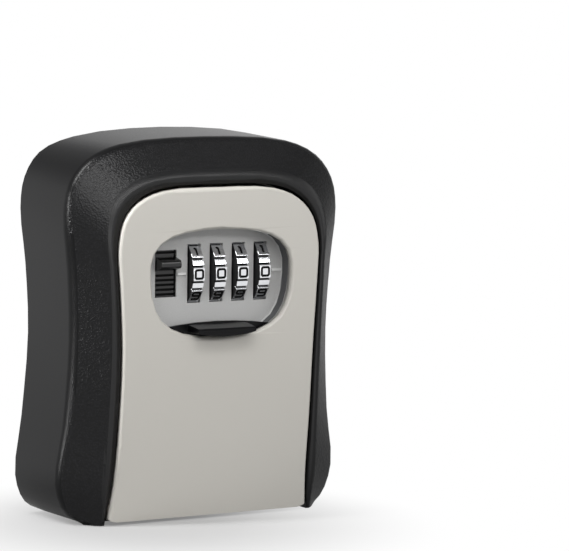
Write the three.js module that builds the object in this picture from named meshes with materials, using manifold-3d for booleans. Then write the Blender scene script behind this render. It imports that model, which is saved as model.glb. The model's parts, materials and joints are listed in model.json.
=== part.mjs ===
// Combination key lock box: a die-cast tray in a weather-proof surround, with a bottom-hinged door
// that carries the combination lock. Millimetres, +Z up, the door faces -Y, the wall face is +Y.
import * as THREE from 'three';
import { mergeVertices } from 'three/addons/utils/BufferGeometryUtils.js';
import Module from 'manifold-3d';

const wasm = await Module();
wasm.setup();

// ---- driving dimensions ------------------------------------------------------------------

const BACK_Y = 21.4; // wall face
const SHELL = 2.4; // wall of the surround
const GAP = 0.3; // between parts that meet
const FAR = 60; // reach of a cutter that passes right through
const CLEAR_FRONT_Y = -20; // a flat level in front of the whole curved face, where its lofts end

// The face of the door is a cylinder about an axis along X. The surround follows it with a narrow
// band round the door, from its rim at the opening out to a ridge.
const FACE = { crownY: -17.51, crownZ: 65.9, radius: 316 };
const BAND = { rim: 0.9, fall: 0.65, footRise: 0.95, from: 40, to: 5 };
const SHOULDER_Y = -4.1; // where the side walls turn into the front flank, at the base
const SHOULDER_LEAN = -0.028; // and its lean towards the front with height

// Half outlines, seen from the front, as guide points [x, z] from the foot to the crown.
const REAR_OUTLINE = [
  [38.5, 0], [44.8, 3.3], [48, 11.5], [46, 29.4], [44, 54], [45, 75],
  [46.7, 91], [45.4, 100.2], [40.6, 107.3], [29.4, 111.7], [0, 114],
];
const SHOULDER_OUTLINE = [
  [36.5, -0.5], [43, 2.6], [46.65, 11.7], [44.5, 29.4], [43.1, 54], [44.1, 75],
  [45.6, 91], [43.9, 99.8], [38.3, 106.6], [28, 110.9], [0, 112.7],
];
const RIDGE_OUTLINE = [
  [35, -6], [35.3, 2], [35.45, 14], [35.25, 29.4], [35.1, 54], [35.95, 75],
  [36.6, 85], [35.2, 92.2], [30.3, 98.3], [21.5, 101.9], [0, 103.1],
];
const DOOR_OUTLINE = [
  [34.1, -6], [33.4, 2], [32.4, 12], [32, 29.4], [32, 52], [33, 71],
  [33.45, 81], [31.6, 89.2], [27, 94.4], [18.6, 97.7], [0, 98.4],
];
const OUTLINE_STEPS = 3; // stretches between two guide points
const INSIDE_STEPS = 2; // the same, where it is hidden
const DOOR_CLEARANCE = 0.6; // beside the door
const HEAD_CLEARANCE = { more: 0.35, from: 85, to: 98 }; // and the rest of it over the head

const DOOR_FOOT = 0.8; // lower edge of the door
const DOOR_CORNER = [[60, 2.4], [33.4, 2.4], [33.1, 1.7], [32.3, 1.15], [30.6, 0.8]];
const SKIN = 2.2; // door skin
const LIP = 2.2; // skin that stands past the frame behind it
const FRAME_WALL = 2;
const FRAME_BACK_Y = -4.1;

// Back tray with its wall holes.
const TRAY = {
  frontY: -6, plate: 2.2, wall: 2.2, foot: 2.7, floor: 2.2, floorFront: -2.6,
  ear: [34.1, 35.6], earRadius: 1.5, earTop: 8.2, edge: 3.1, floorHalf: 34.6,
};
const SURROUND_SCREWS = [[40.2, 14], [-40.2, 14], [39.6, 95], [-39.6, 95]];
const SURROUND_SCREW = { shaft: 0.85, length: 9.2, head: 2.8, headHeight: 0.8 };
const SURROUND_BOSS = { radius: 2.6, backY: 18.7, pilot: 1.05, pilotY: 8, clear: 1.7, headRoom: 3.1 };
const FLANK_WALL = 3.2; // wall behind the ridge
const DOORWAY_Y = -3.3; // the opening keeps its own outline back to here
const WALL_HOLE = { z: 88, radius: 3.25 };
const WALL_PAD = {
  z: [22, 37], halfWidth: 10, rise: 1.6, corner: 3, slotHalf: 4.5, slot: [29.5, 33.8],
};

const HINGE = {
  y: -8, z: 5, pin: 0.9, bore: 1.1, inner: 28.6, outer: 35.4,
  boss: 3, lug: [27.2, 31], lugFrontY: -11, lugFoot: 2.1, sweep: 5,
};

// Window in the door: one quarter each as a curve, [x, z].
const WINDOW = {
  centreX: 0.4, foot: [0, 54.5], side: [23.5, 72], head: [0, 86.2],
  lowerHandles: [[18, 54.9], [23, 59.5]],
  upperHandles: [[24.6, 83], [17, 85.9]],
};

// Weather shutter: a flat plate in a channel that leans with the face of the door.
const LEAN = 0.033; // forward travel per unit of height
const SHUTTER = {
  frontY: -14.45, refZ: 55.7, thick: 1, halfWidth: 24.6, foot: 25.4, top: 58.95, topRadius: 125,
};
const CHANNEL = { frontY: -14.6, backY: -13.1, halfWidth: 24.9, foot: 25, top: 88 };
const TAB = { front: -21.4, halfWidth: 9.6, foot: 55.1, top: 57.6, footRise: 1.15 };

// Combination dials.
const DIAL = {
  y: -2.4, z: 72.8, radius: 11.3, width: 3.75, first: -5.35, pitch: 7.45, count: 4,
  positions: 10, flat: 11.1, halfPad: 1.95, halfRib: 0.8, root: 10.1, ribRadius: 10.95, bore: 6.3,
};
const SLEEVE = { hub: 6, bore: 1.8, disc: 6.7, discWidth: 1.8, gate: 3.2, gateFloor: 2.7 };
const SPINDLE_RADIUS = 1.6;

// Lock case: a floor behind the window with the dial slots, and walls behind it.
const CASE = {
  floorY: -10.1, wall: 1.6, halfWidth: 27.2, cheek: 2, foot: 50.6, top: 88.9,
  trough: 57, backY: 9, slotWidth: 4.4, slotFoot: 64.2, slotTop: 81.4, rim: 2.4,
  sideTop: 86, bottom: 1.8, wallTop: 84,
};
const INDEX_MARKS = { across: [[-11, -8.2], [20.8, 24.1]], proud: 0.45, below: 0.3, above: 0.4 };
const LEFT_WALL = [-11.8, -10.3];
const LEFT_WALL_Y = -6.4;
const RIGHT_WALL = [19.4, 21];
const RESET_GAP = { y: 3, z: [64, 80.6] }; // in the right wall, for the reset lever
const RESET_SHELF = { x: [20.5, 26.2], y: [-9.1, 3.5], z: [66, 79] };
const COVER_POSTS = { across: [[-11.8, -7.6], [19.4, 22.4]], y: [5.6, 9], heights: [[81.2, 84], [57, 62]] };
const COVER_SCREWS = [[-9.6, 82.6], [-9.6, 60.4], [20.6, 82.6], [20.6, 60.4]];
const EAR = { inner: 16.2, foot: 85.4, top: 91.4, backY: 4.5, seatY: 0.5, stepX: 19.8 };
const COVER = {
  frontY: 9.3, thick: 1.4, foot: 57.4, top: 84.6, left: -11.8, right: 22.6,
  corner: 2, notch: { x: 20.9, z: [65.7, 79], slope: 1.7 },
};
const TRACK = {
  foot: 19.6, top: 50.2, halfWidth: 27, thick: 1.2, frontY: -13.1,
  ribs: [-16, -5.5, 5.5, 16], ribHalf: 0.6, ribBack: 2.2, ribFoot: 25.6,
};
const EAR_SCREWS = [[22.9, 88.4], [-22.9, 88.4]];
const FOOT_SCREWS = [[26.05, 53.4], [-26.05, 53.4]];
const TRACK_SCREWS = [[18, 21.4], [-18, 21.4]];
const EAR_SEAT_Y = -10.5;
const DOOR_BOSS_Y = -16; // inside the skin, where the bosses of the door begin
const EAR_SCREW = {
  shaft: 0.8, length: 14.5, head: 2.3, headHeight: 1.8, boss: 2.3, pilot: 1, clear: 1.5,
};
const FOOT_SCREW = { shaft: 0.5, length: 5.5, head: 1.15, headHeight: 0.8, boss: 1.4, pilot: 0.75 };
const COVER_SCREW = { shaft: 0.55, length: 4.4, head: 1.5, headHeight: 0.9, pilot: 0.75, clear: 0.95 };
const TRACK_SCREW = {
  shaft: 0.6, length: 2.3, head: 1.8, headHeight: 1, boss: 2.3, pilot: 0.85, clear: 1.05,
};

// Opening slider, its carriage with a wedge that slopes back with height, and the locking bar.
const SLIDER_SLOT = { left: -18.3, right: -11.2, foot: 66.1, top: 80 };
const SLIDER_TRAVEL = 4;
const KNOB = {
  left: -18.6, right: -10.9, frontY: -9.2, backY: -7, foot: 65.6, top: 85, edge: 0.25,
  ledge: [[-9.9, 73.9], [-13.3, 74.9], [-13.8, 75.6], [-13.8, 76.6], [-13.3, 77.2], [-9.9, 78]],
  grooves: [66.9, 68.3, 69.7, 71.1, 72.5, 79.2, 80.6, 82, 83.4],
  groove: { inset: 0.5, depth: 0.7, half: 0.35 },
};
const WEDGE = { y: 10.2, z: 83.8, slope: 0.309, foot: 79, top: 89.2 };
const CARRIAGE = {
  hub: [[-18.6, -12.1], [-6.7, 8], [70, 82.6]],
  core: [[-17, -13.7], [-3.7, 12], [72, 81]],
  post: [-15.8, -12.1],
  wedge: [-16.3, -12.4],
  hoopSide: [[-18.9, -17], [5, 16.2], [78, 82.6]],
  hoopBack: [[-18.9, -8.3], [14.8, 16.4], [78, 84.6]],
  springSeat: { radius: 1.3, z: [66.4, 70.5] },
};
const BAR = { foot: 88.6, top: 90.6, front: -5, back: -1.4, left: -15.8, right: 14.2, tip: 79.8 };

// Latch rocker on its pin, across the head of the door.
const LATCH = {
  y: 6.1, z: 92.3, pin: 1.25, bore: 1.45, legX: 7.95, legWidth: 4.9,
  slotInner: 4.15, slotOuter: 11.75, ribOuter: 15.2, neck: 1.95, neckY: 3.1, towerY: 9.4,
  towerZ: [85, 104], slotY: -13.4, ribY: [3.2, 9], ribZ: [90.2, 95],
  leg: [
    [-9.9, 92.6], [-0.8, 91.9], [4.2, 90.2], [12.6, 90.4], [12.6, 94.3], [3.5, 94.5],
    [-3.6, 97.3], [-9.2, 98.2], [-9.9, 97.4],
  ],
  crossbar: [[10.2, 12.6], [90.6, 94.1]],
  tail: [
    [10.5, 83.8], [12.75, 90.6], [10.4, 91.2], [10.4, 94.1], [13, 94.1], [14.5, 91], [12.4, 83.8],
  ],
  tailX: [-16.4, -12.2],
  bridge: [[10.4, 13], [91.2, 94.1]],
};

// Reset lever behind the right wall of the case.
const RESET = {
  foot: [[23.1, 24.9], [3.8, 5.2], [66.5, 79.2]],
  post: [[23.4, 4], [24.9, 4], [24.9, 13], [24.5, 13.4], [23.8, 13.4], [23.4, 13]],
  postZ: [77.4, 79.2],
};

const COIL_STEPS = 8; // stretches in one turn of a spring
const SPRING = { x: -15.35, y: 0.6, foot: 59.1, top: 69.6, radius: 2.2, wire: 0.35, turns: 6 };
// Leaf spring under the dials: the fingers run back and up to the dials.
const DETENT = {
  thick: 0.4, half: 1.3, frontY: -7.5, baseBackY: -4.5,
  bend: [[-7.5, 0], [2.4, 0], [4.6, 1], [6.9, 4.6], [8, 4.2]],
};
const TORSION = { x: [-5.05, -2.35], radius: 2.05, wire: 0.25, turns: 2.25, leg: 4.2 };

// ---- materials -----------------------------------------------------------------------------

const material = (color, roughness, metalness) =>
  new THREE.MeshStandardMaterial({ color, roughness, metalness });
const creamPaint = () => material(0xc9c6bf, 0.45, 0.1);
const blackPlastic = () => material(0x2b2b2c, 0.5, 0);
const greyPaint = () => material(0xa3a4a6, 0.5, 0.2);
const castZinc = () => material(0xb4b5b6, 0.5, 0.6);
const chrome = () => material(0xe2e3e5, 0.12, 1);
const nickel = () => material(0xd9d2c6, 0.25, 1);
const springSteel = () => material(0x9b9da1, 0.35, 1);

// ---- solids --------------------------------------------------------------------------------

const FRAMES = {
  // outline [x, z] drawn out along +Y
  y: new THREE.Matrix4().makeBasis(
    new THREE.Vector3(1, 0, 0), new THREE.Vector3(0, 0, 1), new THREE.Vector3(0, -1, 0)),
  // outline [y, z] drawn out along +X
  x: new THREE.Matrix4().makeBasis(
    new THREE.Vector3(0, 1, 0), new THREE.Vector3(0, 0, 1), new THREE.Vector3(1, 0, 0)),
  // outline [x, y] drawn out along +Z
  z: new THREE.Matrix4(),
};

// A three.js geometry as a solid that can be joined and cut.
function solid(geometry) {
  const bare = geometry.clone();
  bare.deleteAttribute('normal');
  bare.deleteAttribute('uv');
  const merged = mergeVertices(bare, 1e-4);
  const mesh = new wasm.Mesh({
    numProp: 3,
    vertProperties: new Float32Array(merged.getAttribute('position').array),
    triVerts: new Uint32Array(merged.index.array),
  });
  return new wasm.Manifold(mesh);
}

// A solid back as a three.js geometry, flat shaded.
function geometryOf(body) {
  const mesh = body.getMesh();
  const geometry = new THREE.BufferGeometry();
  geometry.setAttribute('position', new THREE.BufferAttribute(new Float32Array(mesh.vertProperties), 3));
  geometry.setIndex(new THREE.BufferAttribute(new Uint32Array(mesh.triVerts), 1));
  const flat = geometry.toNonIndexed();
  flat.computeVertexNormals();
  return flat;
}

const join = (...bodies) => bodies.reduce((sum, body) => sum.add(body));
const cut = (body, ...cutters) => cutters.reduce((rest, cutter) => rest.subtract(cutter), body);

function shapeOf(points, holes = []) {
  const shape = new THREE.Shape(points.map(([a, b]) => new THREE.Vector2(a, b)));
  shape.holes = holes.map((hole) => new THREE.Path(hole.map(([a, b]) => new THREE.Vector2(a, b))));
  return shape;
}

// An outline drawn out from `from` to `to` along an axis.
function prism(axis, outline, from, to, holes = []) {
  const geometry = new THREE.ExtrudeGeometry(shapeOf(outline, holes), {
    depth: to - from, bevelEnabled: false,
  });
  geometry.applyMatrix4(FRAMES[axis]);
  const offset = { x: [from, 0, 0], y: [0, to, 0], z: [0, 0, from] }[axis];
  return solid(geometry.translate(...offset));
}

function block([x0, x1], [y0, y1], [z0, z1]) {
  const geometry = new THREE.BoxGeometry(x1 - x0, y1 - y0, z1 - z0);
  return solid(geometry.translate((x0 + x1) / 2, (y0 + y1) / 2, (z0 + z1) / 2));
}

// The same block on the left and on the right.
const blockPair = ([x0, x1], y, z) => join(block([x0, x1], y, z), block([-x1, -x0], y, z));

function rod(axis, radius, from, to, [a, b], sides = 20) {
  const circle = Array.from({ length: sides }, (_, i) => {
    const turn = (i / sides) * 2 * Math.PI;
    return [a + radius * Math.cos(turn), b + radius * Math.sin(turn)];
  });
  return prism(axis, circle, from, to);
}

// A closed skin over a row of loops with the same number of points each.
function loft(loops) {
  const count = loops[0].length;
  const positions = loops.flat().flatMap((p) => [p.x, p.y, p.z]);
  const triangles = [];
  for (let ring = 0; ring + 1 < loops.length; ring++) {
    for (let i = 0; i < count; i++) {
      const a = ring * count + i;
      const b = ring * count + ((i + 1) % count);
      triangles.push(a, b, b + count, a, b + count, a + count);
    }
  }
  const cap = (loop, base, flip) => {
    const flat = loop.map((p) => new THREE.Vector2(p.x, p.z));
    for (const [a, b, c] of THREE.ShapeUtils.triangulateShape(flat, [])) {
      triangles.push(...(flip ? [base + a, base + c, base + b] : [base + a, base + b, base + c]));
    }
  };
  cap(loops[0], 0, true);
  cap(loops[loops.length - 1], count * (loops.length - 1), false);
  const geometry = new THREE.BufferGeometry();
  geometry.setAttribute('position', new THREE.Float32BufferAttribute(positions, 3));
  geometry.setIndex(triangles);
  return solid(geometry);
}

// ---- outlines ------------------------------------------------------------------------------

// Guide points mirrored about the middle and joined by a smooth curve, from right foot to left.
function smoothOutline(guide, steps = OUTLINE_STEPS) {
  const left = guide.slice(0, -1).reverse().map(([x, z]) => [-x, z]);
  const points = [...guide, ...left].map(([x, z]) => new THREE.Vector3(x, 0, z));
  const curve = new THREE.CatmullRomCurve3(points, false, 'centripetal');
  return curve.getPoints((points.length - 1) * steps).map((p) => [p.x, p.z]);
}

// An open outline moved inwards, to the left of its direction of travel.
function inset(outline, distance) {
  return outline.map(([x, z], i) => {
    const [x0, z0] = outline[Math.max(i - 1, 0)];
    const [x1, z1] = outline[Math.min(i + 1, outline.length - 1)];
    const length = Math.hypot(x1 - x0, z1 - z0);
    return [x - (distance * (z1 - z0)) / length, z + (distance * (x1 - x0)) / length];
  });
}

const faceY = (z) => FACE.crownY + (z - FACE.crownZ) ** 2 / (2 * FACE.radius);
const rimY = (z) => faceY(z) + BAND.rim;
const ridgeY = (z) =>
  rimY(z) + BAND.fall - BAND.footRise * THREE.MathUtils.smoothstep(-z, -BAND.from, -BAND.to);
const shoulderY = (z) => SHOULDER_Y + SHOULDER_LEAN * z;

const loopOf = (outline, depth) => outline.map(([x, z]) => new THREE.Vector3(x, depth(z), z));

// Loops that round the corner at `corner` between the loops `before` and `after`.
function roundOff(before, corner, after, back, ahead, steps = 3) {
  return Array.from({ length: steps + 1 }, (_, step) => {
    const t = step / steps;
    return corner.map((c, i) => {
      const start = c.clone().lerp(before[i], back);
      const end = c.clone().lerp(after[i], ahead);
      return new THREE.QuadraticBezierCurve3(start, c, end).getPoint(t);
    });
  });
}

const rearOutline = smoothOutline(REAR_OUTLINE);
const shoulderOutline = smoothOutline(SHOULDER_OUTLINE);
const ridgeOutline = smoothOutline(RIDGE_OUTLINE);
const doorOutline = smoothOutline(DOOR_OUTLINE);
const openingOutline = inset(doorOutline, -DOOR_CLEARANCE).map(([x, z]) => {
  const { more, from, to } = HEAD_CLEARANCE;
  return [x, z + more * THREE.MathUtils.smoothstep(z, from, to)];
});
const frameOutline = smoothOutline(DOOR_OUTLINE, INSIDE_STEPS);
const trayOutline = inset(frameOutline, -DOOR_CLEARANCE);
const hollowOutline = (guide) => inset(smoothOutline(guide, INSIDE_STEPS), SHELL);

// The closed window outline, moved outwards by `margin`.
function windowOutline(margin = 0, steps = 7) {
  const point = ([x, z]) => new THREE.Vector3(x, 0, z);
  const lower = new THREE.CubicBezierCurve3(
    point(WINDOW.foot), ...WINDOW.lowerHandles.map(point), point(WINDOW.side));
  const upper = new THREE.CubicBezierCurve3(
    point(WINDOW.side), ...WINDOW.upperHandles.map(point), point(WINDOW.head));
  const right = [...lower.getPoints(steps), ...upper.getPoints(steps).slice(1)].map((p) => [p.x, p.z]);
  const left = right.slice(1, -1).reverse().map(([x, z]) => [-x, z]);
  const ring = [...right, ...left].map(([x, z]) => [x + WINDOW.centreX, z]);
  const wrapped = [ring[ring.length - 1], ...ring, ring[0]];
  return inset(wrapped, -margin).slice(1, -1);
}

// Depth of a plane that leans with the shutter channel.
const leaning = (y) => (z) => y - LEAN * (z - SHUTTER.refZ);
const trackY = leaning(TRACK.frontY);
const leaningSlab = (halfWidth, front, back, foot, top) =>
  prism('x', [[front(foot), foot], [back(foot), foot], [back(top), top], [front(top), top]],
    -halfWidth, halfWidth);

// ---- surround and tray ---------------------------------------------------------------------

const aboveGround = (body, z) => cut(body, block([-FAR, FAR], [-FAR, FAR], [-FAR, z]));

// Ears on the tray that carry the hinge pins, or the room for them.
function hingeEars(across, margin = 0) {
  const eye = rod('x', TRAY.earRadius + margin, ...across, [HINGE.y, HINGE.z], 18);
  const shank = blockPair(across, [HINGE.y - margin, TRAY.frontY + 1 + margin],
    [TRAY.foot - margin, TRAY.earTop + margin]);
  return join(shank, eye, eye.mirror([1, 0, 0]));
}

function outerSurround() {
  const rear = loopOf(rearOutline, () => BACK_Y - GAP);
  const shoulder = loopOf(shoulderOutline, shoulderY);
  const ridge = loopOf(ridgeOutline, ridgeY);
  const rim = loopOf(openingOutline, rimY);
  const outside = loft([
    rear,
    ...roundOff(rear, shoulder, ridge, 0.08, 0.17),
    ...roundOff(shoulder, ridge, rim, 0.06, 0.3, 2),
    rim,
  ]);
  const inner = loft([
    loopOf(hollowOutline(REAR_OUTLINE), () => BACK_Y + 1),
    loopOf(hollowOutline(SHOULDER_OUTLINE), (z) => shoulderY(z) + 1),
    loopOf(smoothOutline(RIDGE_OUTLINE, INSIDE_STEPS), (z) => ridgeY(z) + FLANK_WALL),
  ]);
  const collar = prism('y', inset(trayOutline, -2), -FAR, TRAY.frontY - GAP);
  const room = prism('y', inset(trayOutline, -TRAY.wall - 0.1 - GAP), TRAY.frontY - GAP, FAR);
  const hollow = aboveGround(join(cut(inner, collar), room), SHELL);
  const doorway = prism('y', openingOutline, -FAR, DOORWAY_Y);
  const earPockets = hingeEars([TRAY.ear[0] - 1, TRAY.ear[1] + GAP], GAP);
  const { radius, backY, pilot, pilotY } = SURROUND_BOSS;
  const screwHoles = SURROUND_SCREWS.map((at) => rod('y', pilot, pilotY, BACK_Y, at, 12));
  const bosses = SURROUND_SCREWS.map((at) => rod('y', radius, -FAR, backY, at, 14));
  const shell = join(
    aboveGround(cut(outside, hollow, doorway), 0), join(...bosses).intersect(outside));
  return cut(shell, earPockets, ...screwHoles);
}

function backTray() {
  const plate = prism('y', inset(smoothOutline(REAR_OUTLINE, INSIDE_STEPS), TRAY.edge),
    BACK_Y - TRAY.plate, BACK_Y);
  const wall = prism('y', inset(trayOutline, -TRAY.wall - 0.1), TRAY.frontY, BACK_Y - 1);
  const cavity = prism('y', inset(trayOutline, -0.1), -FAR, BACK_Y - TRAY.plate);
  const floor = block([-TRAY.floorHalf, TRAY.floorHalf], [TRAY.floorFront, BACK_Y - 1],
    [TRAY.foot, TRAY.foot + TRAY.floor]);
  const padOutline = new THREE.Shape();
  const [padFoot, padTop] = WALL_PAD.z;
  const { halfWidth: w, corner } = WALL_PAD;
  padOutline.moveTo(-w, padFoot).lineTo(w, padFoot).lineTo(w, padTop - corner);
  padOutline.quadraticCurveTo(w, padTop, w - corner, padTop).lineTo(corner - w, padTop);
  padOutline.quadraticCurveTo(-w, padTop, -w, padTop - corner);
  const pad = prism('y', padOutline.getPoints(4).map((p) => [p.x, p.y]),
    BACK_Y - TRAY.plate - WALL_PAD.rise, BACK_Y - 1);
  const shell = join(cut(join(plate, wall), cavity), floor, hingeEars(TRAY.ear), pad);
  const holes = [
    rod('y', WALL_HOLE.radius, 0, FAR, [0, WALL_HOLE.z], 24),
    block([-WALL_PAD.slotHalf, WALL_PAD.slotHalf], [0, FAR], WALL_PAD.slot),
    rod('x', HINGE.bore, -FAR, FAR, [HINGE.y, HINGE.z]),
    ...SURROUND_SCREWS.map((at) => rod('y', SURROUND_BOSS.clear, 0, FAR, at, 14)),
    ...SURROUND_SCREWS.map((at) => rod('y', SURROUND_BOSS.headRoom, BACK_Y - 1, FAR, at, 18)),
  ];
  return cut(aboveGround(shell, TRAY.foot), ...holes);
}

// ---- door ----------------------------------------------------------------------------------

// A slab between two depths behind the curved face of the door.
function faceSlab(front, back, frontSteps = 18, backSteps = 8) {
  const [foot, top] = [-7, 104];
  const line = (depth, steps) => Array.from({ length: steps + 1 }, (_, i) => {
    const z = foot + ((top - foot) * i) / steps;
    return [faceY(z) + depth, z];
  });
  return prism('x', [...line(front, frontSteps), ...line(back, backSteps).reverse()], -FAR, FAR);
}

const behindFace = (depth) => faceSlab(depth, 40, 8, 1);

function doorPanel() {
  const softEdge = loft([
    loopOf(doorOutline, () => 20),
    loopOf(doorOutline, (z) => faceY(z) + 1),
    loopOf(inset(doorOutline, 0.25), (z) => faceY(z) + 0.35),
    loopOf(inset(doorOutline, 0.9), (z) => faceY(z) - 0.05),
    loopOf(inset(doorOutline, 2.5), (z) => faceY(z) - 1),
    loopOf(inset(doorOutline, 2.5), () => CLEAR_FRONT_Y),
  ]);
  const footCorners = [1, -1].map((side) => prism('y',
    [[FAR, -1], ...DOOR_CORNER, [30.6, -1]].map(([x, z]) => [side * x, z]), -FAR, FAR));
  const skin = cut(softEdge.intersect(faceSlab(0, SKIN)), ...footCorners);
  const frame = (back) => cut(
    prism('y', inset(frameOutline, LIP), -FAR, back),
    prism('y', inset(frameOutline, LIP + FRAME_WALL), -FAR, FAR));
  const tower = frame(LATCH.towerY)
    .intersect(block([-LATCH.ribOuter, LATCH.ribOuter], [-FAR, FAR], LATCH.towerZ));
  const rails = cut(
    prism('y', inset(frameOutline, LIP + FRAME_WALL - 0.2), -FAR, FAR)
      .intersect(leaningSlab(FAR, leaning(-17), leaning(CHANNEL.backY - GAP), CHANNEL.foot, CHANNEL.top)),
    block([-CHANNEL.halfWidth, CHANNEL.halfWidth], [-FAR, FAR], [0, FAR * 2]));
  const pinRibs = join(
    blockPair([LATCH.slotOuter, LATCH.ribOuter], LATCH.ribY, LATCH.ribZ),
    block([-LATCH.neck, LATCH.neck], LATCH.ribY, LATCH.ribZ));
  const earBosses = EAR_SCREWS.map((at) =>
    rod('y', EAR_SCREW.boss, DOOR_BOSS_Y, EAR_SEAT_Y - GAP, at, 16));
  const footBosses = FOOT_SCREWS.map((at) =>
    rod('y', FOOT_SCREW.boss, DOOR_BOSS_Y, CASE.floorY - GAP, at, 14));
  const trackBosses = TRACK_SCREWS.map(([x, z]) =>
    rod('y', TRACK_SCREW.boss, DOOR_BOSS_Y, trackY(z) - GAP, [x, z], 16));
  const hingeBoss = rod('x', HINGE.boss, ...HINGE.lug, [HINGE.y, HINGE.z], 18);
  const hingeFeet = blockPair(HINGE.lug, [HINGE.lugFrontY, HINGE.y],
    [HINGE.lugFoot, HINGE.z + HINGE.boss]);
  const body = join(skin, join(
    frame(FRAME_BACK_Y), tower, rails, pinRibs, ...earBosses, ...footBosses, ...trackBosses,
    hingeBoss, hingeBoss.mirror([1, 0, 0]), hingeFeet).intersect(behindFace(SKIN - 0.3)));
  const channel = leaningSlab(CHANNEL.halfWidth, leaning(CHANNEL.frontY), leaning(-8),
    CHANNEL.foot, CHANNEL.top);
  const window = loft([
    loopOf(windowOutline(0), () => 0),
    loopOf(windowOutline(0), (z) => faceY(z) + 1.1),
    loopOf(windowOutline(0.3), (z) => faceY(z) + 0.4),
    loopOf(windowOutline(0.9), (z) => faceY(z)),
    loopOf(windowOutline(1.6), (z) => faceY(z) - 0.6),
    loopOf(windowOutline(1.6), () => CLEAR_FRONT_Y),
  ]);
  const slots = blockPair([LATCH.slotInner, LATCH.slotOuter], [LATCH.slotY, FAR], LATCH.towerZ);
  const neckGaps = blockPair([LATCH.neck, LATCH.slotInner + 0.1], [LATCH.neckY, FAR], LATCH.towerZ);
  const earBossesAgain = join(...earBosses).intersect(behindFace(SKIN - 0.3));
  const swingSweep = cut(
    block([-FAR, FAR], [HINGE.y, FAR], [-FAR, HINGE.z]),
    rod('x', HINGE.sweep, -FAR, FAR, [HINGE.y, HINGE.z], 36));
  const holes = [
    rod('x', HINGE.bore, -FAR, FAR, [HINGE.y, HINGE.z]),
    rod('x', LATCH.bore, -FAR, FAR, [LATCH.y, LATCH.z]),
    ...EAR_SCREWS.map(([x, z]) => rod('y', EAR_SCREW.pilot, faceY(z) + 1.2, 0, [x, z], 12)),
    ...FOOT_SCREWS.map(([x, z]) => rod('y', FOOT_SCREW.pilot, faceY(z) + 1.4, 0, [x, z], 10)),
    ...TRACK_SCREWS.map(([x, z]) => rod('y', TRACK_SCREW.pilot, faceY(z) + 1.2, 0, [x, z], 12)),
  ];
  const opened = join(cut(body, channel, window), earBossesAgain);
  return cut(aboveGround(opened, DOOR_FOOT), slots, neckGaps, swingSweep, ...holes);
}

// ---- lock case -----------------------------------------------------------------------------

const dialX = (index) => DIAL.first + index * DIAL.pitch;
const discX = (index) => dialX(index) - DIAL.pitch / 2;
const dials = Array.from({ length: DIAL.count }, (_, index) => index);

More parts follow.
